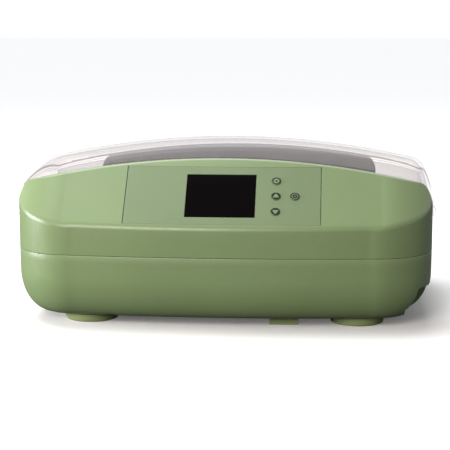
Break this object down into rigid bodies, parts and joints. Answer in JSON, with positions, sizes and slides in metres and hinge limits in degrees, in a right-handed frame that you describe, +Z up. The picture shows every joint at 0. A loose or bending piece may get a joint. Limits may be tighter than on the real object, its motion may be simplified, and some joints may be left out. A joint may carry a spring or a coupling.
{
  "type": "egg incubator",
  "caption": "Tabletop egg incubator with a sloping control fascia, clear lift-off lid, water tray, sliding roller egg turner and rear fan and heater duct.",
  "frame": {"origin": "centre of the footprint on the surface that the feet stand on", "axes": "+X to the user's right, +Y to the rear (the fascia faces -Y), +Z up"},
  "size_m": [0.327, 0.25, 0.132],
  "materials": {
    "green_shell": "satin moulded sage green",
    "panel": "satin printed overlay, sage green",
    "foot_green": "matt moulded green",
    "clear_lid": "clear polished",
    "display_window": "black gloss",
    "dark_plastic": "matt black",
    "button": "printed dark ring on green",
    "switch_metal": "satin",
    "circuit_board": "solder mask green",
    "transformer_iron": "varnished",
    "inlet_black": "matt black",
    "plated_pin": "plated",
    "steel": "satin",
    "duct_grey": "satin grey",
    "heater_fin": "satin",
    "tray_white": "satin white",
    "roller_white": "satin white",
    "screw_steel": "zinc plated"
  },
  "bodies": {
    "body": {"base_shell": "green_shell", "upper_shell": "green_shell", "control_panel": "panel", "foot_front_left": "foot_green", "foot_front_right": "foot_green", "foot_rear_left": "foot_green", "foot_rear_right": "foot_green", "front_rest_pad": "foot_green", "display_window": "display_window", "display_module": "dark_plastic", "fan_frame": "dark_plastic", "capacitor": "dark_plastic", "control_board": "circuit_board", "power_board": "circuit_board", "set_switch": "switch_metal", "up_switch": "switch_metal", "down_switch": "switch_metal", "power_switch": "switch_metal", "transformer": "transformer_iron", "relay": "dark_plastic", "mains_inlet": "inlet_black", "mains_pin_front": "plated_pin", "mains_pin_rear": "plated_pin", "temperature_probe": "steel", "air_duct": "duct_grey", "fan_guard": "duct_grey", "heater": "heater_fin", "water_tray": "tray_white", "egg_floor": "tray_white", "turning_motor": "steel", "case_screw_front_left": "screw_steel", "case_screw_front_right": "screw_steel", "case_screw_rear_left": "screw_steel", "case_screw_rear_right": "screw_steel"},
    "lid": {"clear_lid": "clear_lid"},
    "set_key": {"set_button": "button"},
    "up_key": {"up_button": "button"},
    "down_key": {"down_button": "button"},
    "power_key": {"power_button": "button"},
    "fan": {"fan_rotor": "dark_plastic"},
    "egg_tray": {"egg_tray_frame": "tray_white"},
    "roller_1": {"egg_roller_1": "roller_white"},
    "roller_2": {"egg_roller_2": "roller_white"},
    "roller_3": {"egg_roller_3": "roller_white"},
    "roller_4": {"egg_roller_4": "roller_white"},
    "roller_5": {"egg_roller_5": "roller_white"},
    "roller_6": {"egg_roller_6": "roller_white"},
    "pinion": {"drive_pinion": "roller_white"}
  },
  "joints": [
    {"name": "lid_lift", "type": "slide", "parent": "body", "child": "lid", "axis": [0, 0, 1], "range_m": [0, 0.14]},
    {"name": "set_press", "type": "slide", "parent": "body", "child": "set_key", "axis": [0, 0.7254, -0.6884], "range_m": [0, 0.0008], "stiffness_N_per_m": 400, "springref_m": -0.0004},
    {"name": "up_press", "type": "slide", "parent": "body", "child": "up_key", "axis": [0, 0.7254, -0.6884], "range_m": [0, 0.0008], "stiffness_N_per_m": 400, "springref_m": -0.0004},
    {"name": "down_press", "type": "slide", "parent": "body", "child": "down_key", "axis": [0, 0.7254, -0.6884], "range_m": [0, 0.0008], "stiffness_N_per_m": 400, "springref_m": -0.0004},
    {"name": "power_press", "type": "slide", "parent": "body", "child": "power_key", "axis": [0, 0.7254, -0.6884], "range_m": [0, 0.0008], "stiffness_N_per_m": 400, "springref_m": -0.0004},
    {"name": "fan_spin", "type": "hinge", "parent": "body", "child": "fan", "pos_m": [0, 0.091, 0.088], "axis": [0, 1, 0], "continuous": true},
    {"name": "tray_slide", "type": "slide", "parent": "body", "child": "egg_tray", "axis": [1, 0, 0], "range_m": [-0.012, 0.012]},
    {"name": "roller_1_turn", "type": "hinge", "parent": "egg_tray", "child": "roller_1", "pos_m": [-0.1, 0.012, 0.0491], "axis": [0, 1, 0], "range_deg": [-75, 75]},
    {"name": "roller_2_turn", "type": "hinge", "parent": "egg_tray", "child": "roller_2", "pos_m": [-0.06, 0.012, 0.0491], "axis": [0, 1, 0], "range_deg": [-75, 75]},
    {"name": "roller_3_turn", "type": "hinge", "parent": "egg_tray", "child": "roller_3", "pos_m": [-0.02, 0.012, 0.0491], "axis": [0, 1, 0], "range_deg": [-75, 75]},
    {"name": "roller_4_turn", "type": "hinge", "parent": "egg_tray", "child": "roller_4", "pos_m": [0.02, 0.012, 0.0491], "axis": [0, 1, 0], "range_deg": [-75, 75]},
    {"name": "roller_5_turn", "type": "hinge", "parent": "egg_tray", "child": "roller_5", "pos_m": [0.06, 0.012, 0.0491], "axis": [0, 1, 0], "range_deg": [-75, 75]},
    {"name": "roller_6_turn", "type": "hinge", "parent": "egg_tray", "child": "roller_6", "pos_m": [0.1, 0.012, 0.0491], "axis": [0, 1, 0], "range_deg": [-75, 75]},
    {"name": "pinion_turn", "type": "hinge", "parent": "body", "child": "pinion", "pos_m": [0, 0.0796, 0.0491], "axis": [0, 1, 0], "range_deg": [-92, 92]}
  ],
  "couplings": [
    {"joint": "roller_1_turn", "follows": "tray_slide", "rad_per_m": 108.7},
    {"joint": "roller_2_turn", "follows": "tray_slide", "rad_per_m": 108.7},
    {"joint": "roller_3_turn", "follows": "tray_slide", "rad_per_m": 108.7},
    {"joint": "roller_4_turn", "follows": "tray_slide", "rad_per_m": 108.7},
    {"joint": "roller_5_turn", "follows": "tray_slide", "rad_per_m": 108.7},
    {"joint": "roller_6_turn", "follows": "tray_slide", "rad_per_m": 108.7},
    {"joint": "pinion_turn", "follows": "tray_slide", "rad_per_m": 133.33}
  ]
}
